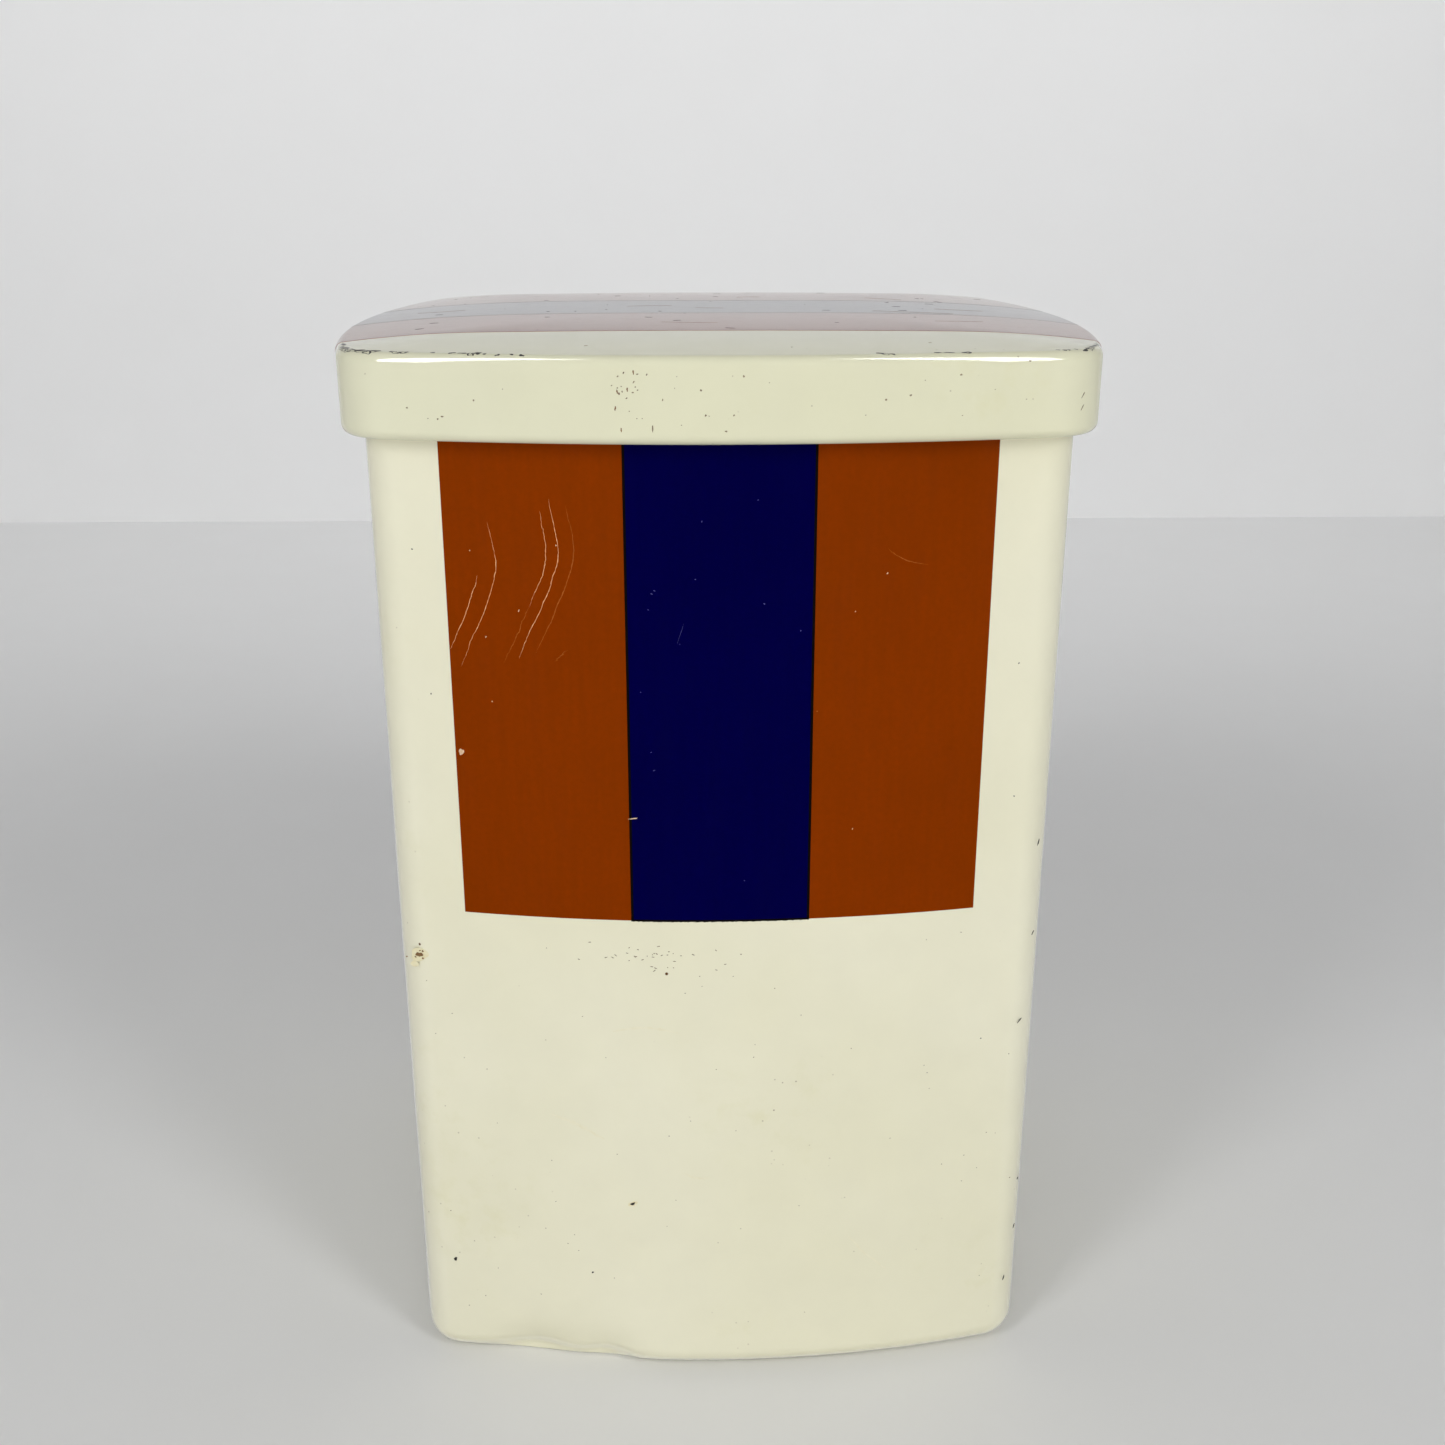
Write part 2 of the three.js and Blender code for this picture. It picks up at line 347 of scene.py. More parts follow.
def signed_volume(points, quads, triangles):
    """A sixth of the sum of a . (b x c) over the triangles: positive when faces point outwards."""
    whole = np.concatenate([triangles, quads[:, [0, 1, 2]], quads[:, [0, 2, 3]]])
    a, b, c = (points[whole[:, i]] for i in range(3))
    return (a * np.cross(b, c)).sum() / 6


def make_piece(name, skin, materials, body, face_materials=None, replaces=()):
    """Puts a skin into a mesh object riding on its body, with its faces outwards. It is shaded
    smooth except where it bends by more than SHARP degrees."""
    points, quads, triangles = skin
    if signed_volume(points, quads, triangles) < 0:
        quads = quads[:, ::-1]
        triangles = triangles[:, ::-1]
    mesh = bpy.data.meshes.new(name)
    mesh.vertices.add(len(points))
    mesh.vertices.foreach_set("co", points.astype(np.float32).ravel())
    corners = np.concatenate([quads.ravel(), triangles.ravel()])
    sizes = np.concatenate([np.full(len(quads), 4), np.full(len(triangles), 3)])
    mesh.loops.add(len(corners))
    mesh.loops.foreach_set("vertex_index", corners.astype(np.int32))
    mesh.polygons.add(len(sizes))
    mesh.polygons.foreach_set("loop_start", (np.cumsum(sizes) - sizes).astype(np.int32))
    if face_materials is not None:
        mesh.polygons.foreach_set("material_index", face_materials.astype(np.int32))
    mesh.update(calc_edges=True)
    mesh.validate()
    for material in materials:
        mesh.materials.append(material)
    mesh.shade_smooth()
    mesh.set_sharp_from_angle(angle=math.radians(SHARP))
    piece = bpy.data.objects.new(name, mesh)
    bpy.context.scene.collection.objects.link(piece)
    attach(piece, body)
    if replaces:
        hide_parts(*replaces)
    return piece


def joined(skins):
    """Several skins as one."""
    start = np.cumsum([0] + [len(points) for points, _, _ in skins])
    return (
        np.concatenate([points for points, _, _ in skins]),
        np.concatenate([quads + at for (_, quads, _), at in zip(skins, start)]),
        np.concatenate([triangles + at for (_, _, triangles), at in zip(skins, start)]),
    )


def film(top, under):
    """Skin of a thin film between two grids of points, closed along all four edges."""
    return loft(np.concatenate([top, under[:, ::-1]], 1), caps="strip")


# ---- Surfaces that print and wear lie on -----------------------------------------------------


def on_wall(sizes, across, height, lift, side=FRONT):
    """Points on a wall, at a distance to the right of its middle as seen from outside, and a
    height. The wall is an arc of the plan, so depth follows from Pythagoras."""
    sign = -1 if side == FRONT else 1
    nominal = np.full_like(across, HALF_WIDTH) * sign
    out = lift + unevenness(sizes, -sign * across, nominal, height)
    depth = np.sqrt((sizes.side_radius + out) ** 2 - across**2) - side_centre(sizes)
    x, y = turned(depth, across, side)
    return np.stack([x, y, height + 0 * x], -1)


def lid_section(sizes, recess):
    """Centreline of the lid's hem, skirt and fillet, from the rolled edge up."""
    half = sizes.sheet / 2
    face = LID_OVERHANG - recess
    hem_radius = (face - sizes.hem_gap - sizes.sheet) / 2
    hem = (face - half - hem_radius, LID_LOW.z + half + hem_radius)
    shoulder = lid_shoulder(sizes) - recess
    fillet = (face - sizes.lid_fillet, shoulder - sizes.lid_fillet)
    return np.concatenate([
        arc(hem, hem_radius, 60, 360, HEM_STEPS),
        between((face - half, hem[1]), (face - half, fillet[1]), 12),
        arc(fillet, sizes.lid_fillet - half, 0, 90, 12),
    ])


def on_lid(sizes, print_sizes, across, inward, lift):
    """Points on the lid's front, at a distance along its outer edge from the middle and a
    distance inward from the shoulder over the top, or, where negative, down the fillet and skirt.
    """
    outer, _ = thicken(lid_section(sizes, print_sizes.recess), sizes.sheet)
    skirt = outer[HEM_STEPS:]
    run = np.concatenate([[0], np.cumsum(np.linalg.norm(np.diff(skirt, axis=0), axis=1))])
    run -= run[-1]
    facing = np.gradient(skirt, run, axis=0)
    down = np.minimum(inward, 0)
    out = np.interp(down, run, skirt[:, 0]) + lift * np.interp(down, run, facing[:, 1])
    up = np.interp(down, run, skirt[:, 1]) - lift * np.interp(down, run, facing[:, 0])
    table = np.linspace(-0.3, 1.1, 600)
    table_x, table_y = plan(sizes, LID_OVERHANG, np.where(table < 0, table + 4, table))
    length_run = np.cumsum(np.hypot(np.diff(table_x, prepend=table_x[0]),
                                    np.diff(table_y, prepend=table_y[0])))
    length_run -= np.interp(SIDE_SHARE / 2, table, length_run)
    station = np.interp(across, length_run, table)
    station = np.where(station < 0, station + 4, station)
    x, y = plan(sizes, out, station)
    share = 1 - np.maximum(inward, 0) / HALF_WIDTH
    top = crown_height(sizes, print_sizes.recess, share) + lift
    return np.stack([x * share, y * share, np.where(inward > 0, top, up)], -1)


def ragged_spots(surface, spots, rng, lift, roughness=0.35, points=18):
    """Skin of flat spots with ragged outlines. Each spot is (across, up, half length, half width,
    tilt in degrees), in millimetres; its outline is an ellipse whose radius wanders as a sum of
    three random harmonics. surface maps (across, up, lift) to points."""
    skins = []
    angle = np.arange(points) / points * 2 * np.pi
    for across, up, long, wide, tilt in spots:
        harmonics = sum(
            rng.uniform(-1, 1) / k**0.5 * np.sin(k * angle + rng.uniform(0, 6.28)) for k in (2, 3, 5)
        )
        radius = 1 + roughness * harmonics
        a = long * MM * radius * np.cos(angle)
        b = wide * MM * radius * np.sin(angle)
        turn = math.radians(tilt)
        u = across * MM + a * math.cos(turn) - b * math.sin(turn)
        v = up * MM + a * math.sin(turn) + b * math.cos(turn)
        rings = np.stack([surface(u, v, SUNK), surface(u, v, lift)])
        skins.append(loft(rings, caps="fan"))
    return joined(skins)


def fine_lines(surface, lines, rng, lift, steps=90):
    """Skin of fine scratches. Each line is (width in mm, points in mm); a smooth curve runs
    through the points, wandering a little, and the ribbon on it swells and thins at random while
    it tapers as the square root of a sine to both ends."""
    skins = []
    for width, points in lines:
        points = np.array(points, float)
        knots = np.linspace(0, 1, len(points))
        share = np.linspace(0, 1, steps)
        # a Catmull-Rom curve: cubic pieces whose slopes are those of the neighbouring chords
        slope = np.gradient(points, knots, axis=0)
        cell = np.clip(np.searchsorted(knots, share, "right") - 1, 0, len(points) - 2)
        gap = knots[1] - knots[0]
        t = ((share - knots[cell]) / gap)[:, None]
        curve = (
            (2 * t**3 - 3 * t**2 + 1) * points[cell]
            + (t**3 - 2 * t**2 + t) * gap * slope[cell]
            + (3 * t**2 - 2 * t**3) * points[cell + 1]
            + (t**3 - t**2) * gap * slope[cell + 1]
        )
        wander = np.convolve(rng.normal(size=steps), np.ones(9) / 9, "same")
        curve[:, 0] += 0.25 * wander
        along = np.gradient(curve, axis=0)
        along /= np.linalg.norm(along, axis=1, keepdims=True)
        aside = np.stack([-along[:, 1], along[:, 0]], 1)
        taper = np.sqrt(np.sin(np.pi * np.clip(share, 0.004, 0.996)))
        half = (width / 2 * taper * rng.uniform(0.45, 1.3, steps))[:, None]
        left = (curve + aside * half) * MM
        right = (curve - aside * half) * MM
        rings = np.stack([
            surface(left[:, 0], left[:, 1], lift),
            surface(right[:, 0], right[:, 1], lift),
            surface(right[:, 0], right[:, 1], SUNK),
            surface(left[:, 0], left[:, 1], SUNK),
        ], 1)
        skins.append(loft(rings, caps="strip"))
    return joined(skins)


# ---- Materials -------------------------------------------------------------------------------


def add(tree, kind, links=None, **settings):
    """Adds a node with these settings; links gives each input's value or the socket it reads."""
    node = tree.nodes.new(kind)
    for name, value in settings.items():
        setattr(node, name, value)
    for key, value in (links or {}).items():
        if isinstance(value, bpy.types.NodeSocket):
            tree.links.new(value, node.inputs[key])
        else:
            node.inputs[key].default_value = value
    return node


def blank(name):
    """A new material's tree, its Object coordinates and its Principled shader."""
    material = bpy.data.materials.new(name)
    material.use_nodes = True
    tree = material.node_tree
    tree.nodes.clear()
    place = add(tree, "ShaderNodeTexCoord").outputs["Object"]
    shader = add(tree, "ShaderNodeBsdfPrincipled")
    output = add(tree, "ShaderNodeOutputMaterial")
    tree.links.new(shader.outputs["BSDF"], output.inputs["Surface"])
    return material, tree, place, shader


def noise(tree, place, size_mm, detail=3, stretch=(1, 1, 1)):
    """Noise whose features are this many millimetres across, stretched along the axes."""
    mapping = add(
        tree, "ShaderNodeMapping",
        {"Vector": place, "Scale": [1 / (size_mm * MM * s) for s in stretch]},
    )
    return add(
        tree, "ShaderNodeTexNoise",
        {"Vector": mapping.outputs["Vector"], "Scale": 1, "Detail": detail, "Roughness": 0.55},
    ).outputs["Fac"]


def where(tree, *masks):
    """How far all masks are full at once. Each is (value, low, high, most): it climbs from 0 at
    low to most at high, and the climbs are multiplied."""
    share = None
    for value, low, high, most in masks:
        climb = add(
            tree, "ShaderNodeMapRange",
            {"Value": value, "From Min": low, "From Max": high, "To Max": most},
        ).outputs["Result"]
        if share is None:
            share = climb
        else:
            both = add(tree, "ShaderNodeMath", {0: share, 1: climb}, operation="MULTIPLY")
            share = both.outputs[0]
    return share


def laid_over(tree, under, colour, *masks):
    """The colour under, a socket or a linear colour, with another laid over it where the masks
    are full."""
    if not isinstance(under, bpy.types.NodeSocket):
        under = (*under, 1)
    colours = {0: where(tree, *masks), 6: under, 7: (*colour, 1)}
    return add(tree, "ShaderNodeMix", colours, data_type="RGBA").outputs[2]


def graded(tree, shader, name, value, low, high, least, most):
    """Lets an input of the shader run from least to most while the value runs from low to high."""
    grade = add(
        tree, "ShaderNodeMapRange",
        {"Value": value, "From Min": low, "From Max": high, "To Min": least, "To Max": most},
    )
    tree.links.new(grade.outputs["Result"], shader.inputs[name])


def raised(tree, shader, height, strength, depth_mm):
    """Lets the surface stand up and down with a height, by this depth."""
    bump = add(
        tree, "ShaderNodeBump",
        {"Height": height, "Strength": strength, "Distance": depth_mm * MM},
    )
    tree.links.new(bump.outputs["Normal"], shader.inputs["Normal"])


def specks(tree, place, cell_mm, size_mm, share):
    """1 in small round specks, at most one to a cell and only in this share of the cells."""
    cells = add(
        tree, "ShaderNodeTexVoronoi", {"Vector": place, "Scale": 1 / (cell_mm * MM)}
    )
    pick = add(tree, "ShaderNodeSeparateColor", {"Color": cells.outputs["Color"]})
    rim = size_mm / cell_mm
    return where(
        tree, (cells.outputs["Distance"], rim, 0.7 * rim, 1),
        (pick.outputs["Red"], share, share - 0.01, 1),
    )


def baked_lacquer(name, base, colours, rubbed_above=None):
    """Glossy stove-baked lacquer: a hard clear shine over slightly uneven, yellowing cream, with
    pinhole specks, faint rub marks that dull the shine, and the roller coat's orange peel."""
    material, tree, place, shader = blank(name)
    tone = laid_over(tree, base, colours.yellowed, (noise(tree, place, 55), 0.35, 0.75, 0.22))
    tone = laid_over(tree, tone, colours.tarnish, (noise(tree, place, 9, 4), 0.3, 0.7, 0.05))
    tone = laid_over(tree, tone, colours.rust, (specks(tree, place, 11, 0.34, 0.16), 0, 1, 1))
    tone = laid_over(tree, tone, colours.steel, (specks(tree, place, 17, 0.3, 0.12), 0, 1, 1))
    # dirt has caught in the coat in patches some 40 mm apart, as grit and as stains
    patches = (noise(tree, place, 40), 0.55, 0.7, 1)
    grit = (specks(tree, place, 2.2, 0.2, 0.4), 0, 1, 0.6)
    tone = laid_over(tree, tone, colours.rust, patches, grit)
    stain = (noise(tree, place, 3.5, 5), 0.5, 0.75, 0.3)
    tone = laid_over(tree, tone, colours.yellowed, patches, stain)
    # peel is drawn at 1.6 mm, coarser than the real 0.5 mm, so that it shows
    raised(tree, shader, noise(tree, place, 1.6, 1), 0.05, 0.05)
    shader.inputs["IOR"].default_value = 1.48
    if rubbed_above is None:
        rubs = noise(tree, place, 2.4, 5, (1, 1, 9))
        graded(tree, shader, "Roughness", rubs, 0.5, 0.75, 0.04, 0.1)
    else:
        # where the lid slides on and off, its hem has rubbed the lacquer through to the tin
        height = add(tree, "ShaderNodeSeparateXYZ", {"Vector": place}).outputs["Z"]
        near_rim = (height, rubbed_above, RIM_TOP - 0.5 * MM, 1)
        patchy = (noise(tree, place, 1.8, 5, (3, 3, 1)), 0.42, 0.62, 1)
        worn = where(tree, (where(tree, near_rim, patchy), 0.55, 0.8, 1))
        tone = laid_over(tree, tone, colours.tin, (worn, 0, 1, 1))
        graded(tree, shader, "Roughness", worn, 0, 1, 0.08, 0.4)
        graded(tree, shader, "Metallic", worn, 0, 1, 0, 0.8)
    tree.links.new(tone, shader.inputs["Base Color"])
    return material


def printed_ink(name, base, shade, fleck, fleck_share):
    """Litho ink under varnish: flat, dense colour with a faint vertical streak from the roller,
    tiny pale flecks where dust sat, and the same shine as the lacquer."""
    material, tree, place, shader = blank(name)
    streaks = (noise(tree, place, 1.1, 3, (1, 1, 14)), 0.35, 0.65, 0.18)
    clouds = (noise(tree, place, 38), 0.4, 0.7, 0.35)
    grain = (noise(tree, place, 0.9, 4), 0.3, 0.7, 0.3)
    tone = base
    for mask in (streaks, clouds, grain):
        tone = laid_over(tree, tone, shade, mask)
    tone = laid_over(tree, tone, fleck, (specks(tree, place, 7.5, 0.26, fleck_share), 0, 1, 1))
    tree.links.new(tone, shader.inputs["Base Color"])
    haze = noise(tree, place, 3, 5, (1, 1, 5))
    graded(tree, shader, "Roughness", haze, 0.5, 0.75, 0.07, 0.12)
    raised(tree, shader, noise(tree, place, 1.6, 1), 0.05, 0.05)
    shader.inputs["IOR"].default_value = 1.42
    return material


def rolled_tinplate(name, colours):
    """Bare rolled tinplate: soft grey metal with fine rolling lines, cloudy tarnish and a few
    rusty pinholes."""
    material, tree, place, shader = blank(name)
    # rolling lines are drawn 0.5 mm apart, coarser than the real ones, so that they show
    lines = noise(tree, place, 0.5, 2, (1, 1, 60))
    spots = specks(tree, place, 9, 0.7, 0.14)
    tarnished = (noise(tree, place, 14, 5), 0.4, 0.7, 1)
    tone = laid_over(tree, colours.tin, colours.tarnish, tarnished)
    tone = laid_over(tree, tone, colours.tarnish, (lines, 0.4, 0.7, 0.3))
    tone = laid_over(tree, tone, colours.rust, (spots, 0, 1, 1))
    tree.links.new(tone, shader.inputs["Base Color"])
    graded(tree, shader, "Metallic", spots, 0, 1, 1, 0.1)
    graded(tree, shader, "Roughness", lines, 0.3, 0.7, 0.34, 0.52)
    raised(tree, shader, lines, 0.15, 0.03)
    return material


def worn_spot(name, first, second, size_mm, metallic, rough=(0.45, 0.7)):
    """Broken surface inside a chip, a rust spot or a scratch, in two uneven tones: matt, or
    nearly as smooth as the varnish where only that is cut."""
    material, tree, place, shader = blank(name)
    uneven = (noise(tree, place, size_mm, 4), 0.35, 0.65, 1)
    tree.links.new(laid_over(tree, first, second, uneven), shader.inputs["Base Color"])
    graded(tree, shader, "Roughness", noise(tree, place, size_mm, 2), 0.3, 0.7, *rough)
    shader.inputs["Metallic"].default_value = metallic
    return material


def finish(name, maker, *arguments, **options):
    """The material of this name, made once."""
    return bpy.data.materials.get(name) or maker(name, *arguments, **options)


def body_lacquer(colours):
    # The body's coat is paler than the lid's, because it has seen less light under the lid.
    return finish("baked_cream_lacquer_body", baked_lacquer, colours.cream, colours,
                  rubbed_above=RIM_TOP - 16 * MM)


def lid_lacquer(colours):
    return finish("baked_cream_lacquer_lid", baked_lacquer, colours.cream_lid, colours)


def tinplate(colours):
    return finish("rolled_tinplate", rolled_tinplate, colours)


def orange_ink(colours):
    return finish("litho_ink_orange", printed_ink, colours.orange, linear("#702c00"),
                  linear("#c98a5a"), 0.16)


def blue_ink(colours):
    return finish("litho_ink_blue", printed_ink, colours.blue, linear("#000032"),
                  linear("#3f3f86"), 0.1)


def black_ink(colours):
    return finish("litho_ink_black", printed_ink, colours.black, linear("#15100c"),
                  linear("#3a3430"), 0.1)


def bare_steel(colours):
    return finish("oxidised_steel", worn_spot, colours.steel, linear("#3a332d"), 0.4, 0.3)


def rusted(colours):
    return finish("rusted_pinholes", worn_spot, colours.rust, linear("#8a6a3c"), 0.5, 0)


def brown_dirt():
    return finish("brown_specks", worn_spot, linear("#5a4c38"), linear("#8a7c5a"), 0.3, 0)


# ---- Operators -------------------------------------------------------------------------------


def settings(context):
    """The canister's sizes, print and colours."""
    scene = context.scene
    return scene.canister_sizes, scene.canister_print, scene.canister_colours


def stripes(prints, first, last):
    """Each stripe's name, its two edges, ink and slot."""
    return (
        (first, -prints.block, -prints.blue, orange_ink, "orange_print"),
        ("stripe_middle", -prints.blue, prints.blue, blue_ink, "blue_print"),
        (last, prints.blue, prints.block, orange_ink, "orange_print"),
    )


class BuildWall(bpy.types.Operator):
    """Build the wrapped wall with its foot, rolled rim and folded side seam"""

    bl_idname = "canister.build_wall"
    bl_label = "Build wall"

    def execute(self, context):
        sizes, _, colours = settings(context)
        half = sizes.sheet / 2
        flange_out = -sizes.foot_radius - sizes.foot_width - sizes.flange_bend
        flange_bend = (flange_out + sizes.flange_bend, half + sizes.flange_bend)
        foot = (-sizes.foot_radius, sizes.foot_radius)
        curl = (-half - sizes.rim_curl, RIM_TOP - half - sizes.rim_curl)
        path = np.concatenate([
            [(flange_out, sizes.flange_height)],
            arc(flange_bend, sizes.flange_bend, 180, 270, 6),
            arc(foot, sizes.foot_radius - half, 270, 360, 16),
            between((-half, foot[1]), (-half, curl[1]), 80),
            arc(curl, sizes.rim_curl, 0, 300, 28),
        ])
        outer, inner = thicken(path, sizes.sheet)
        outline = np.concatenate([outer, inner[::-1]])
        beside = np.array([0.15, 0.3, 0.45, 0.7, 1.2]) * 0.0075  # of a side: 0.15 to 1.2 mm
        seam = np.concatenate([-beside, beside])
        station = stations(52, 14, seam)
        out = outline[:, :1] + 0 * station
        up = outline[:, 1:] + 0 * station
        x, y = plan(sizes, out, station + 0 * out)
        on_face = smooth(-5 * MM, -0.5 * MM, out)
        out = out + unevenness(sizes, x, y, up) * on_face
        # the seam's two folds meet in a fine groove, a Gaussian valley up the right wall
        valley = np.exp(-((y / (0.32 * MM)) ** 2)) * (x > 0) * (abs(out) < 1 * MM)
        face = np.arange(len(outline))[:, None] < len(outer)
        straight = smooth(0, 4 * MM, up - 4 * MM) * smooth(0, 2 * MM, curl[1] + MM - up)
        out = out - sizes.groove_depth * valley * straight * face
        x, y = plan(sizes, out, station + 0 * out)
        rings = np.stack([x, y, up], -1)
        rows = np.arange(len(outline))
        tin_rows = (rows >= len(outer) - 1) & (rows < len(outline) - 1)
        make_piece(
            "wall_sheet", loft(rings, closed=True), [body_lacquer(colours), tinplate(colours)],
            "canister", np.repeat(tin_rows, len(station)), ("body_wall",),
        )
        self.fold_seam(sizes, colours, curl)
        return {"FINISHED"}

    def fold_seam(self, sizes, colours, curl):
        """The flattened fold inside the right wall: a rounded bar, superellipse in section."""
        angle = np.arange(28) / 28 * 2 * np.pi
        wide = np.sign(np.cos(angle)) * abs(np.cos(angle)) ** 0.35 * sizes.seam_width / 2
        deep = np.sign(np.sin(angle)) * abs(np.sin(angle)) ** 0.6 * sizes.seam_depth / 2
        height = np.linspace(sizes.foot_radius + MM, curl[1] - sizes.rim_curl - 1.2 * MM, 90)
        ends = smooth(0, 1.2 * MM, height - height[0] + 0.4 * MM)
        ends = ends * smooth(0, 1.2 * MM, height[-1] - height + 0.4 * MM)
        press = 1 - 0.1 * (0.5 + 0.5 * np.sin(2 * np.pi * height / 0.011))
        x = HALF_WIDTH - sizes.sheet - sizes.seam_depth / 2 + deep * (press * ends)[:, None]
        y = wide * ends[:, None]
        rings = np.stack([x, y, height[:, None] + 0 * x], -1)
        make_piece("seam_fold", loft(rings, caps="fan"), [tinplate(colours)], "canister")


class BuildBase(bpy.types.Operator):
    """Build the base panel with its hooked edge and stepped bead"""

    bl_idname = "canister.build_base"
    bl_label = "Build base"

    def execute(self, context):
        sizes, _, colours = settings(context)
        flange_out = -sizes.foot_radius - sizes.foot_width - sizes.flange_bend
        hook = sizes.sheet + sizes.seam_gap
        panel_out = flange_out - hook - sizes.panel_bend
        path = np.concatenate([
            [(flange_out + hook, sizes.hook_end)],
            arc((flange_out, sizes.flange_height), hook, 0, 180, 12),
            arc((panel_out, sizes.panel_height + sizes.panel_bend), sizes.panel_bend, 0, -90, 8),
        ])
        outer, inner = thicken(path, sizes.sheet)
        station = stations(32, 10)
        edge_x, edge_y = plan(sizes, panel_out, station)
        share = np.linspace(1, 0.02, 50)[1:, None]
        inward = (1 - share) * (HALF_WIDTH + panel_out) - panel_out
        rise = smooth(sizes.bead_inset, sizes.bead_inset + sizes.bead_slope, inward)
        panel_up = sizes.panel_height + sizes.bead_rise * rise
        rings = []
        for skin, half in ((inner, sizes.sheet / 2), (outer, -sizes.sheet / 2)):
            out = skin[:, :1] + 0 * station
            x, y = plan(sizes, out, station + 0 * out)
            edge = np.stack([x, y, skin[:, 1:] + 0 * x], -1)
            panel = np.stack([edge_x * share, edge_y * share, panel_up - half + 0 * edge_x * share], -1)
            rings.append(np.concatenate([edge, panel]))
        whole = np.concatenate([rings[0][::-1], rings[1]])
        make_piece("base_sheet", loft(whole, caps="fan"), [tinplate(colours)], "canister",
                   replaces=("base_panel",))
        return {"FINISHED"}


class BuildLid(bpy.types.Operator):
    """Build the pressed lid with its rolled hem and pillowed top"""

    bl_idname = "canister.build_lid"
    bl_label = "Build lid"

    def execute(self, context):
        sizes, prints, colours = settings(context)
        outer, inner = thicken(lid_section(sizes, prints.recess), sizes.sheet)
        station = stations(52, 16)
        edge_x, edge_y = plan(sizes, lid_plan_out(sizes, prints.recess), station)
        share = (1 - np.linspace(0, 0.99, 60)[1:] ** 1.3)[:, None]
        top = crown_height(sizes, prints.recess, share)
        rings = []
        for skin, depth in ((outer, 0), (inner, sizes.sheet)):
            out = skin[:, :1] + 0 * station
            x, y = plan(sizes, out, station + 0 * out)
            edge = np.stack([x, y, skin[:, 1:] + 0 * x], -1)
            crown = np.stack([edge_x * share, edge_y * share, top - depth + 0 * edge_x * share], -1)
            rings.append(np.concatenate([edge, crown]))
        whole = np.concatenate([rings[0][::-1], rings[1]])
        bands = len(whole) - 1
        skin = loft(whole, caps="fan")
        inside = np.repeat(np.arange(bands) >= len(rings[0]) - 1, len(station))
        caps = np.repeat([0, 1], len(station))
        make_piece("lid_sheet", skin, [lid_lacquer(colours), tinplate(colours)], "lid",
                   np.concatenate([inside, caps]), ("lid_cap",))
        return {"FINISHED"}


class PrintBody(bpy.types.Operator):
    """Print the stripes and key lines on the front and back of the wall"""

    bl_idname = "canister.print_body"
    bl_label = "Print body"

    def execute(self, context):
        sizes, prints, colours = settings(context)
        top = RIM_TOP - 2 * sizes.rim_curl
        key = prints.key_line / 2
        for side, word in ((FRONT, "front"), (BACK, "back")):
            shift = prints.shift if side == FRONT else 0
            for name, low, high, ink, slot in stripes(prints, "stripe_left", "stripe_right"):
                skin = self.stripe(sizes, low + shift, high + shift, prints.bottom, top,
                                   prints.lift, side)
                make_piece(f"{word}_{name}", skin, [ink(colours)], "canister")
            lines = [
                self.stripe(sizes, at + shift - key, at + shift + key, prints.bottom, top,
                            KEY_LIFT * prints.lift, side)
                for at in (-prints.blue, prints.blue)
            ]
            lines.append(self.ragged_edge(sizes, prints, shift, side))
            make_piece(f"{word}_key_lines", joined(lines), [black_ink(colours)], "canister")
        return {"FINISHED"}

    def stripe(self, sizes, left, right, bottom, top, lift, side):
        """A film over one wall between two uprights: a grid across and up."""
        across, height = np.meshgrid(np.linspace(left, right, 26), np.linspace(bottom, top, 64))
        return film(on_wall(sizes, across, height, lift, side),
                    on_wall(sizes, across, height, SUNK, side))

    def ragged_edge(self, sizes, prints, shift, side):
        """The black line under the blue: its lower edge wanders by a tenth of a millimetre."""
        rng = np.random.default_rng(11 + side)
        key = prints.key_line / 2
        across = np.linspace(-prints.blue - key, prints.blue + key, 120) + shift
        low = prints.bottom - key * rng.uniform(0.55, 1.05, 120)
        height = np.stack([low, np.full(120, prints.bottom + key)])
        across = np.stack([across, across])
        return film(on_wall(sizes, across, height, KEY_LIFT * prints.lift, side),
                    on_wall(sizes, across, height, SUNK, side))


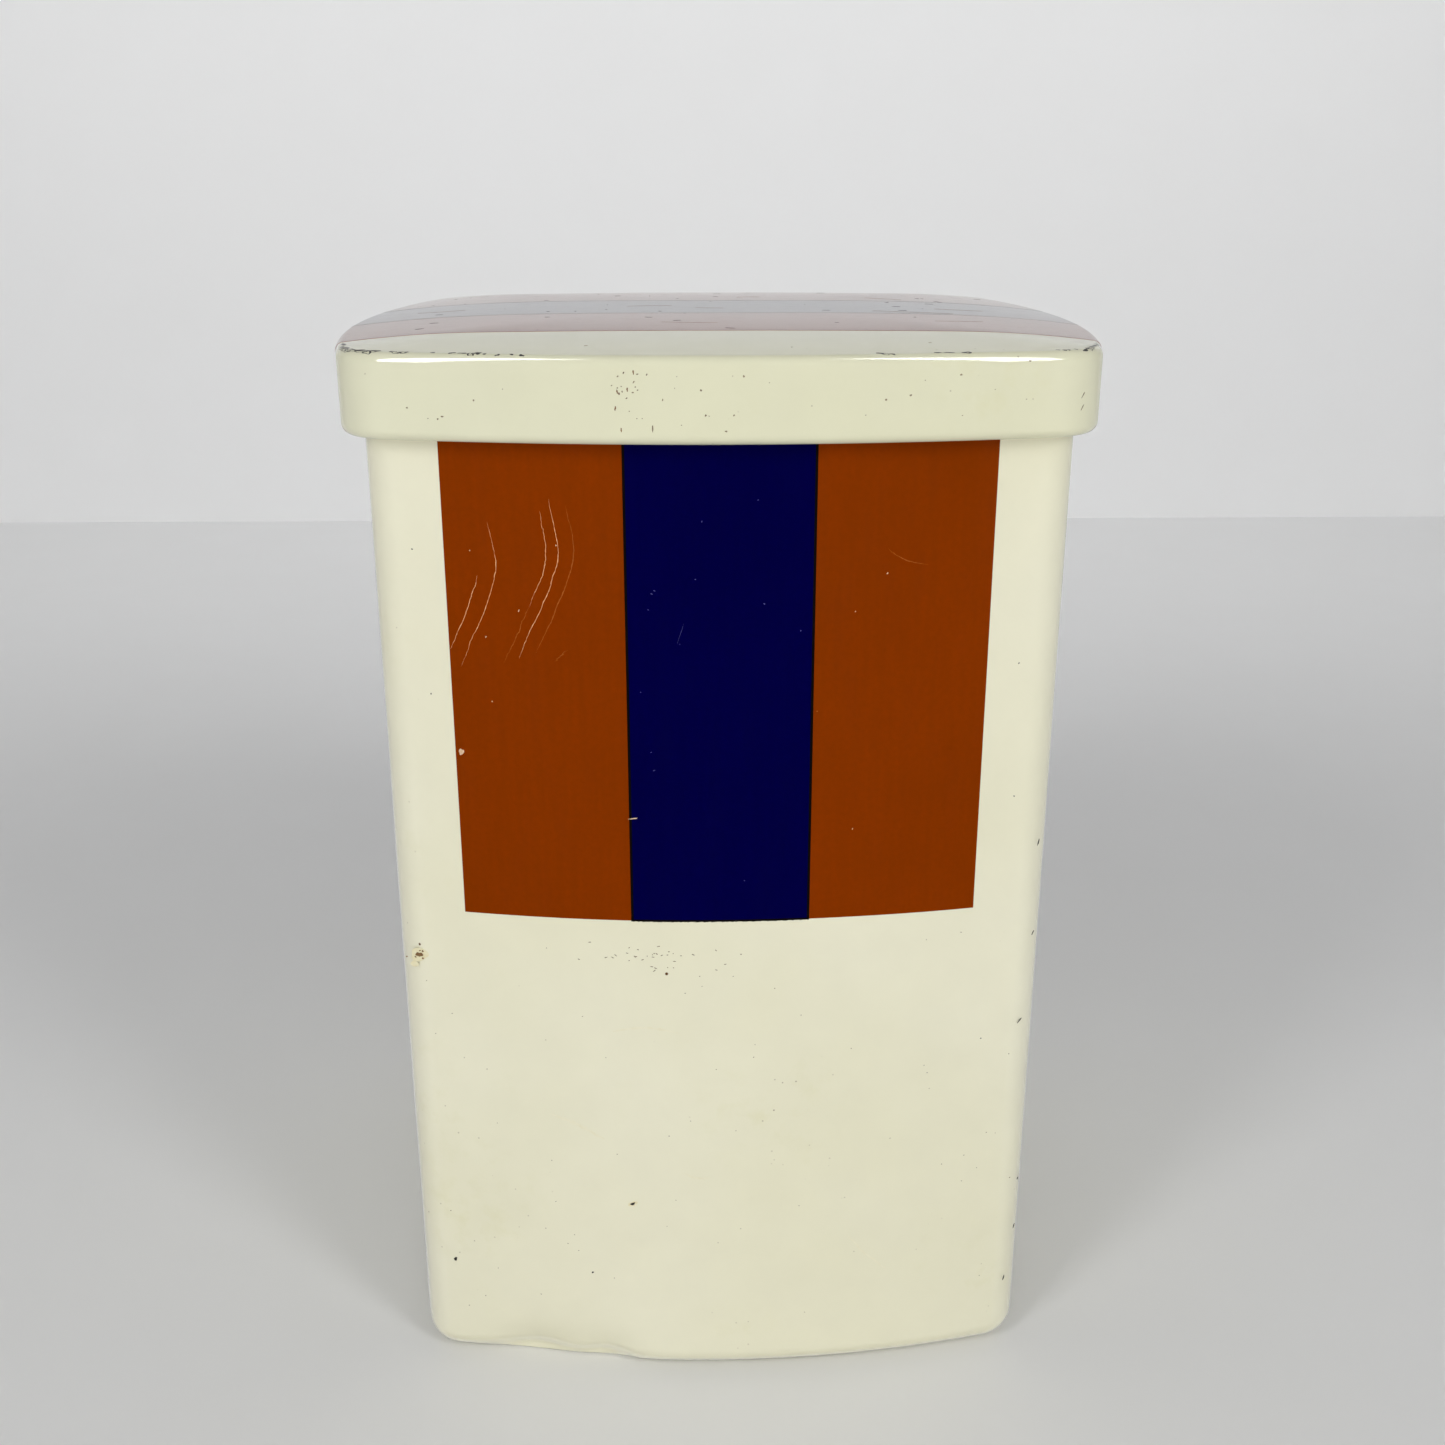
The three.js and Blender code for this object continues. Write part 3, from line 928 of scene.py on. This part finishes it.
class PrintLid(bpy.types.Operator):
    """Print the stripes that run over the lid and down its left and right skirts"""

    bl_idname = "canister.print_lid"
    bl_label = "Print lid"

    def execute(self, context):
        sizes, prints, colours = settings(context)
        key = prints.key_line / 2
        for name, low, high, ink, slot in stripes(prints, "stripe_front", "stripe_back"):
            skin = self.band(sizes, prints, low, high, prints.lift, 26)
            make_piece(f"lid_{name}", skin, [ink(colours)], "lid")
        lines = [
            self.band(sizes, prints, at - key, at + key, KEY_LIFT * prints.lift, 4)
            for at in (-prints.blue, prints.blue)
        ]
        make_piece("lid_key_lines", joined(lines), [black_ink(colours)], "lid")
        return {"FINISHED"}

    def band(self, sizes, prints, front, back, lift, columns):
        """A film over the lid at constant y: up the left skirt and fillet, across the top at the
        crown's height, and down the right."""
        y = np.linspace(front, back, columns)[None, :]
        return film(self.rows(sizes, prints, y, lift), self.rows(sizes, prints, y, SUNK))

    def rows(self, sizes, prints, y, lift):
        outer, _ = thicken(lid_section(sizes, prints.recess), sizes.sheet)
        skirt = outer[HEM_STEPS - HEM_PRINTED :]
        facing = np.gradient(skirt, axis=0)
        facing /= np.linalg.norm(facing, axis=1, keepdims=True)
        out = (skirt[:, 0] + lift * facing[:, 1])[:, None]
        up = (skirt[:, 1] - lift * facing[:, 0])[:, None]
        reach = np.sqrt((sizes.side_radius + out) ** 2 - y**2) - side_centre(sizes)
        right = np.stack([reach, y + 0 * reach, up + 0 * reach], -1)
        edge = right[-1:, :, 0] - 0.05 * MM
        x = np.linspace(-1, 1, 100)[:, None] * edge
        share = share_of_edge(sizes, prints.recess, x, y + 0 * x)
        top = crown_height(sizes, prints.recess, np.minimum(share, 1)) + lift
        crown = np.stack([x, y + 0 * x, top], -1)
        return np.concatenate([right * (-1, 1, 1), crown, right[::-1]])


class WearBody(bpy.types.Operator):
    """Scratch, speck and rust the front of the wall"""

    bl_idname = "canister.wear_body"
    bl_label = "Wear body"

    def execute(self, context):
        sizes, prints, colours = settings(context)
        rng = np.random.default_rng(7)

        def wall(across, height, lift):
            return on_wall(sizes, across, height, lift)

        def sweep(from_edge, below_rim, high, low):
            """A hooked stroke, bent at a place given from the print's left edge and the rim: a
            hyperbola that leans left going up and more so going down, in mm from the bend."""
            up = np.linspace(high, low, 7)
            across = edge + from_edge + 0.14 * up - 0.34 * (np.hypot(up, 3) - 3)
            return np.stack([across, RIM_TOP / MM - below_rim + up], 1)

        proud = MARK_LIFT * prints.lift
        edge = (prints.shift - prints.block) / MM
        blue_edge = (prints.shift - prints.blue) / MM
        # something sharp was dragged down the print several times: (width in mm, stroke)
        deep = [
            (0.11, sweep(5.5, 36, 0, -13)), (0.1, sweep(8.5, 36, 9, -16)),
            (0.11, sweep(17, 33, 8, -8)), (0.12, sweep(19, 33, 10, -17)),
        ]
        make_piece("print_scratches", fine_lines(wall, deep, rng, proud),
                   [finish("scratched_undercoat", worn_spot, colours.scratch, linear("#dc9460"),
                           1.2, 0, (0.12, 0.2))], "canister")
        faint = [
            (0.16, sweep(17, 33, -8, -18)), (0.18, sweep(21.5, 33, 9, -16)),
            (0.14, [(-26, 148), (-28, 146)]), (0.14, [(27, 165), (30, 163), (34, 162)]),
        ]
        make_piece("faint_scratches", fine_lines(wall, faint, rng, proud),
                   [finish("scuffed_varnish", worn_spot, linear("#a65a22"), linear("#944a12"),
                           1.2, 0, (0.12, 0.2))], "canister")
        rubs = [
            (0.7, [(-32, 58), (-27, 56), (-22, 53)]), (0.4, [(-7, 46), (-5, 45), (-2, 45)]),
            (0.5, [(-20, 76), (-14, 77), (-8, 76)]), (0.4, [(24, 31), (27, 27), (32, 22)]),
        ]
        make_piece("rub_marks", fine_lines(wall, rubs, rng, 0.01 * MM),
                   [finish("rubbed_lacquer", worn_spot, linear("#dfdabc"), linear("#e4e0c6"),
                           1.5, 0)], "canister")
        # a chip on the print's edge and a hair across the key line, then flecks anywhere
        pale = [(edge + 1, 129, 0.6, 0.4, 80), (blue_edge + 0.5, 118, 0.8, 0.1, 8)]
        pale += [
            (way * rng.uniform(18, 43), rng.uniform(102, 170), rng.uniform(0.09, 0.2), 0.09, 60)
            for way in (-1, -1, -1, -1, -1, 1, 1, 1)
        ]
        make_piece("pale_chips", ragged_spots(wall, pale, rng, proud),
                   [finish("chipped_to_cream", worn_spot, linear("#e2c8a6"), linear("#cfa983"),
                           0.8, 0)], "canister")
        dusty = [(-7, 151, 1.7, 0.02, 72)]
        dusty += [
            (rng.uniform(-14, 14), rng.uniform(103, 174), rng.uniform(0.1, 0.24), 0.08,
             rng.uniform(-60, 70))
            for _ in range(12)
        ]
        make_piece("dusty_flecks", ragged_spots(wall, dusty, rng, proud),
                   [finish("dust_under_varnish", worn_spot, linear("#50519a"), linear("#34347c"),
                           0.8, 0)], "canister")
        haloes = [(-55, 89, 1.7, 1.3, 10), (-56, 87, 0.8, 0.6, 0), (-17, 39, 0.9, 0.5, 20)]
        make_piece("rust_haloes", ragged_spots(wall, haloes, rng, 0.008 * MM, 0.2),
                   [finish("rust_stained_lacquer", worn_spot, linear("#dcd2a8"), linear("#e2dcba"),
                           0.8, 0)], "canister")
        rusty = [(-55, 89, 0.6, 0.5, 20)]
        rusty += [
            (rng.normal(-55, 0.7), rng.normal(89, 1.2), rng.uniform(0.13, 0.24), 0.15, 0)
            for _ in range(5)
        ]
        make_piece("rust_spots", ragged_spots(wall, rusty, rng, 0.02 * MM, 0.5),
                   [rusted(colours)],
                   "canister")
        scuffs = [
            (rng.normal(-12, 6.5), rng.normal(91.3, 1.3), rng.uniform(0.08, 0.3), 0.08,
             rng.uniform(-50, 50))
            for _ in range(34)
        ]
        specks_all_over = [
            (rng.uniform(-56, 56), rng.uniform(12, 95), rng.uniform(0.07, 0.13), 0.08, 0)
            for _ in range(60)
        ]
        make_piece("body_specks", ragged_spots(wall, scuffs + specks_all_over, rng, 0.015 * MM),
                   [brown_dirt()],
                   "canister")
        dark = [(-52, 23, 0.45, 0.3, 70), (-17, 39, 0.55, 0.22, 20), (-25, 23, 0.22, 0.2, 0)]
        # knocks up the right corner, then nicks beside the print
        dark += [
            (rng.uniform(55, 57.5), height, rng.uniform(0.3, 0.7), 0.11, rng.uniform(40, 85))
            for height in (16, 28, 39, 74, 92, 110)
        ]
        dark += [
            (way * rng.uniform(47, 53), rng.uniform(60, 175), 0.14, 0.12, 0)
            for way in (-1, 1, -1, 1, 1)
        ]
        make_piece("dark_nicks", ragged_spots(wall, dark, rng, 0.02 * MM),
                   [bare_steel(colours)],
                   "canister")
        return {"FINISHED"}


class WearLid(bpy.types.Operator):
    """Chip the lid's shoulder and speck its skirt and top"""

    bl_idname = "canister.wear_lid"
    bl_label = "Wear lid"

    def execute(self, context):
        sizes, prints, colours = settings(context)
        rng = np.random.default_rng(23)

        def lid(across, inward, lift):
            return on_lid(sizes, prints, across, inward, lift)

        # rows of chips on the fillet just under the shoulder, where a lid is knocked:
        # (middle, reach to each side, how many, half length, half width), all in mm
        knocks = (
            (-70, 2, 3, 0.9, 0.4), (-61, 5, 10, 1.2, 0.5), (-52, 0.6, 2, 0.9, 0.4),
            (-46, 0, 1, 0.35, 0.35), (-40, 2, 5, 0.55, 0.38), (-34, 3, 4, 0.4, 0.26),
            (25, 0, 1, 1.4, 0.32), (36, 2.5, 3, 0.8, 0.34), (56, 2, 4, 0.35, 0.3),
            (62, 2, 5, 0.6, 0.36), (68, 1.5, 2, 0.9, 0.38),
        )
        shoulder = [
            (across + rng.normal(0, 0.3), rng.normal(-0.3, 0.25), long * rng.uniform(0.6, 1.2),
             wide * rng.uniform(0.7, 1.2), rng.uniform(-25, 25))
            for middle, reach, count, long, wide in knocks
            for across in np.linspace(middle - reach, middle + reach, count)
        ]
        make_piece("shoulder_chips", ragged_spots(lid, shoulder, rng, 0.02 * MM, 0.5, 24),
                   [bare_steel(colours)],
                   "lid")
        # an upright nick, two slanting cuts and three specks on the top's margin
        skirt = [
            (-11, -12, 0.11, 0.55, 0), (59, -8, 0.6, 0.08, 55), (59, -10, 0.6, 0.08, 55),
            (-24, 6, 0.35, 0.16, 10), (12, 5, 0.2, 0.14, 0), (38, 7, 0.22, 0.16, 0),
        ]
        skirt += [
            (rng.uniform(-60, 60), rng.uniform(-13, -2), rng.uniform(0.12, 0.2), 0.15, 0)
            for _ in range(14)
        ]
        skirt += [
            (rng.uniform(-60, 60), rng.uniform(-12, -3), rng.uniform(0.06, 0.11), 0.07, 0)
            for _ in range(18)
        ]
        skirt += [
            (rng.normal(-15, 2), rng.normal(-6, 1.6), rng.uniform(0.08, 0.2), 0.1, rng.uniform(0, 90))
            for _ in range(14)
        ]
        make_piece("skirt_specks", ragged_spots(lid, skirt, rng, 0.02 * MM),
                   [brown_dirt()],
                   "lid")
        rust = [
            (rng.normal(-15.5, 1), rng.normal(-8, 2), 0.13, rng.uniform(0.18, 0.35), 0)
            for _ in range(6)
        ]
        make_piece("lid_rust_specks", ragged_spots(lid, rust, rng, 0.015 * MM),
                   [rusted(colours)],
                   "lid")
        return {"FINISHED"}


class ScuffTop(bpy.types.Operator):
    """Scuff the lid's printed top"""

    bl_idname = "canister.scuff_top"
    bl_label = "Scuff top"

    def execute(self, context):
        sizes, prints, colours = settings(context)
        rng = np.random.default_rng(5)

        def top(across, back, lift):
            """Points on the lid's top, straight up from a place on the plan."""
            share = np.minimum(share_of_edge(sizes, prints.recess, across, back), 1)
            height = crown_height(sizes, prints.recess, share) + lift
            return np.stack([across, back, height], -1)

        count = 46
        scuffs = np.stack([
            rng.uniform(-58, 58, count), rng.uniform(-44, 44, count),
            rng.uniform(0.15, 0.9, count) ** 1.5, rng.uniform(0.1, 0.28, count),
            rng.uniform(-30, 30, count),
        ], 1)
        make_piece("top_scuffs", ragged_spots(top, scuffs, rng, TOP_LIFT * prints.lift, 0.4, 14),
                   [bare_steel(colours)],
                   "lid")
        lines = []
        for _ in range(9):
            start = rng.uniform((-55, -42), (55, 42))
            way = rng.uniform(-0.5, 0.5)
            reach = rng.uniform(4, 16)
            bow = rng.uniform(-1, 1)
            step = np.array([math.cos(way), math.sin(way)]) * reach
            stroke = [start - step / 2, start + (0, bow), start + step / 2]
            lines.append((rng.uniform(0.06, 0.12), stroke))
        make_piece("top_scratches", fine_lines(top, lines, rng, TOP_LIFT * prints.lift, 24),
                   [finish("scuffed_lid_varnish", worn_spot, linear("#a08a76"), linear("#7a5c48"),
                           1.2, 0)], "lid")
        return {"FINISHED"}


FLOOR_REACH = 12  # metres to each side, so that the floor ends at the horizon in every view
BACKDROP_REACH = 2
BACKDROP_HEIGHT = 2.2
BACKDROP_PLACE = 0.75
LIT_POINT = Vector((0, 0, 0.15))  # every lamp is aimed here, above the canister's middle
LAMP_DISTANCE = 1.15


class BuildStudio(bpy.types.Operator):
    """Set the pale floor, backdrop, soft lights and camera"""

    bl_idname = "canister.build_studio"
    bl_label = "Build studio"

    def execute(self, context):
        studio = context.scene.canister_studio
        paper, tree, place, shader = blank("pale_seamless_paper")
        # matt studio paper, with the faintest mottle so that it doesn't look computed
        mottle = (noise(tree, place, 40, 4), 0.3, 0.7, 0.06)
        tone = laid_over(tree, studio.paper, linear("#dcdbd8"), mottle)
        tree.links.new(tone, shader.inputs["Base Color"])
        shader.inputs["Roughness"].default_value = 0.85
        shader.inputs["IOR"].default_value = 1.2
        reach = (-FLOOR_REACH, FLOOR_REACH)
        floor = self.sheet("floor", reach, reach, paper, upright=None)
        floor.visible_glossy = False  # so that the print reflects the dim room and keeps its depth
        self.sheet("backdrop", (-BACKDROP_REACH, BACKDROP_REACH), (0, BACKDROP_HEIGHT), paper,
                   upright=BACKDROP_PLACE)
        self.room(context.scene)
        for word, way in (("left", -1), ("right", 1)):
            self.softbox(f"key_{word}", 40 * way, 29, LAMP_DISTANCE, (0.26, 0.5), studio.key, False)
            # tall and narrow, to leave a short crisp gleam at each end of the lid's fillet
            window = self.softbox(f"window_{word}", 37 * way, 38, LAMP_DISTANCE, (0.19, 1.3),
                                  studio.window, True)
            window.visible_diffuse = False
        self.softbox("fill", 0, 1, 1.3, (1.8, 0.3), studio.fill, False)
        wash = self.softbox("backdrop_wash", 180, 82, 0.8, (1.6, 0.3), studio.wash, False)
        wash.rotation_euler = Euler((math.radians(43), 0, 0))
        wash.data.spread = math.radians(80)
        self.camera(context.scene, studio)
        return {"FINISHED"}

    def sheet(self, name, across, along, material, upright):
        """A flat sheet of paper, lying at z = 0 or standing upright at a distance behind."""
        a, b = np.meshgrid(across, along)
        low = np.zeros_like(a, float)
        grid = np.stack([a, b, low], -1) if upright is None else np.stack([a, low + upright, b], -1)
        mesh = bpy.data.meshes.new(name)
        mesh.from_pydata(grid.reshape(-1, 3).tolist(), [], [(0, 1, 3, 2)])
        mesh.materials.append(material)
        sheet = bpy.data.objects.new(name, mesh)
        bpy.context.scene.collection.objects.link(sheet)
        return sheet

    def room(self, scene):
        """Soft light from all round, dimmer in front, where the room is deep. Below the horizon
        only the front is dark: a table's edge stops the gleam that would grey the print."""
        scene.world = bpy.data.worlds.new("room")
        scene.world.use_nodes = True
        tree = scene.world.node_tree
        way = add(tree, "ShaderNodeTexCoord").outputs["Generated"]
        axes = add(tree, "ShaderNodeSeparateXYZ", {"Vector": way}).outputs
        across = add(tree, "ShaderNodeMath", {0: axes["X"]}, operation="ABSOLUTE").outputs[0]
        aside = where(tree, (across, 0.54, 0.64, 1))
        behind = where(tree, (axes["Y"], 0, 0.15, 1))
        around = add(tree, "ShaderNodeMath", {0: aside, 1: behind}, operation="MAXIMUM").outputs[0]
        bright = linear("#c4c4c6")
        above = laid_over(tree, linear("#868788"), bright, (behind, 0, 1, 1))
        below = laid_over(tree, linear("#190e08"), bright, (around, 0, 1, 1))
        height = where(tree, (axes["Z"], -0.04, 0.04, 1))
        tone = add(tree, "ShaderNodeMix", {0: height, 6: below, 7: above}, data_type="RGBA")
        tree.links.new(tone.outputs[2], tree.nodes["Background"].inputs["Color"])

    def softbox(self, name, azimuth, elevation, distance, size, power, seen):
        """A rectangular light at an azimuth (to the right of -Y) and elevation, facing the lit
        point. seen says whether glossy surfaces mirror it."""
        turn, rise = math.radians(azimuth), math.radians(elevation)
        way = Vector((math.sin(turn) * math.cos(rise), -math.cos(turn) * math.cos(rise),
                      math.sin(rise)))
        data = bpy.data.lights.new(name, "AREA")
        data.shape = "RECTANGLE"
        data.size, data.size_y = size
        data.energy = power
        light = bpy.data.objects.new(name, data)
        light.location = way * distance + LIT_POINT
        light.rotation_euler = way.to_track_quat("Z", "Y").to_euler()
        light.visible_glossy = seen
        light.visible_camera = False
        bpy.context.scene.collection.objects.link(light)
        return light

    def camera(self, scene, studio):
        data = bpy.data.cameras.new("camera")
        data.lens = studio.lens
        data.sensor_width = 36
        data.clip_start = 0.01
        camera = bpy.data.objects.new("camera", data)
        camera.location = studio.camera
        camera.rotation_euler = Euler((math.pi / 2 - studio.pitch, 0, -studio.heading))
        scene.collection.objects.link(camera)
        scene.camera = camera
        scene.view_settings.view_transform = "Standard"


class CanisterPanel(bpy.types.Panel):
    """Lists the canister's settings and steps"""

    bl_idname = "VIEW3D_PT_canister"
    bl_label = "Canister"
    bl_space_type = "VIEW_3D"
    bl_region_type = "UI"
    bl_category = "Canister"

    def draw(self, context):
        layout = self.layout
        for group in SETTINGS:
            box = layout.box()
            for name in SETTINGS[group].__annotations__:
                box.prop(getattr(context.scene, group), name)
        for step in STEPS:
            layout.operator(step.bl_idname)


SETTINGS = {
    "canister_sizes": CanisterSizes,
    "canister_print": CanisterPrint,
    "canister_colours": CanisterColours,
    "canister_studio": CanisterStudio,
}
STEPS = (BuildWall, BuildBase, BuildLid, PrintBody, PrintLid, WearBody, WearLid, ScuffTop,
         BuildStudio)


def register():
    for group in (*SETTINGS.values(), *STEPS, CanisterPanel):
        bpy.utils.register_class(group)
    for name, group in SETTINGS.items():
        setattr(bpy.types.Scene, name, PointerProperty(type=group))


def unregister():
    for name in SETTINGS:
        delattr(bpy.types.Scene, name)
    for group in (CanisterPanel, *STEPS, *SETTINGS.values()):
        bpy.utils.unregister_class(group)


def main():
    register()
    bpy.ops.canister.build_studio()
    bpy.ops.canister.build_wall()
    bpy.ops.canister.build_base()
    bpy.ops.canister.build_lid()
    bpy.ops.canister.print_body()
    bpy.ops.canister.print_lid()
    bpy.ops.canister.wear_body()
    bpy.ops.canister.wear_lid()
    bpy.ops.canister.scuff_top()


if __name__ == "__main__":
    main()
